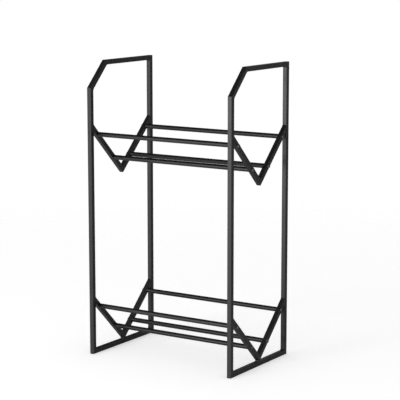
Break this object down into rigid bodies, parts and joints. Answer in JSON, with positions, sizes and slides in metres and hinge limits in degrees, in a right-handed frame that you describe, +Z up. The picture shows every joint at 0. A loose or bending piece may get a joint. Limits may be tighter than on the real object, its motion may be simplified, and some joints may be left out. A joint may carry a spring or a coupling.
{
  "type": "record storage rack",
  "caption": "Open two-tier floor rack of black square tube: side frames with V-shaped cradles, joined by round cross rods that hold records corner down.",
  "frame": {"origin": "on the floor, under the middle of the rack", "axes": "+X to the right across the rack, +Y to the back, +Z up; the slanted top corners are at the front"},
  "size_m": [0.4546, 0.287, 0.79],
  "materials": {
    "frame_coat": "satin black powder coat",
    "rod_coat": "semi-gloss black powder coat",
    "screw_black": "black oxide steel",
    "insert_zinc": "zinc plated"
  },
  "bodies": {
    "root": {"left_bottom_rail": "frame_coat", "left_rear_post": "frame_coat", "left_top_rail": "frame_coat", "left_slant_rail": "frame_coat", "left_front_post": "frame_coat", "left_upper_cradle_front_leg": "frame_coat", "left_upper_cradle_rear_leg": "frame_coat", "left_lower_cradle_front_leg": "frame_coat", "left_lower_cradle_rear_leg": "frame_coat", "right_bottom_rail": "frame_coat", "right_rear_post": "frame_coat", "right_top_rail": "frame_coat", "right_slant_rail": "frame_coat", "right_front_post": "frame_coat", "right_upper_cradle_front_leg": "frame_coat", "right_upper_cradle_rear_leg": "frame_coat", "right_lower_cradle_front_leg": "frame_coat", "right_lower_cradle_rear_leg": "frame_coat", "upper_front_low_rod": "rod_coat", "upper_front_high_rod": "rod_coat", "upper_rear_low_rod": "rod_coat", "upper_rear_high_rod": "rod_coat", "lower_front_low_rod": "rod_coat", "lower_front_high_rod": "rod_coat", "lower_rear_low_rod": "rod_coat", "lower_rear_high_rod": "rod_coat", "left_upper_screws": "screw_black", "left_lower_screws": "screw_black", "right_upper_screws": "screw_black", "right_lower_screws": "screw_black", "left_upper_rod_inserts": "insert_zinc", "left_lower_rod_inserts": "insert_zinc", "right_upper_rod_inserts": "insert_zinc", "right_lower_rod_inserts": "insert_zinc"}
  },
  "joints": []
}
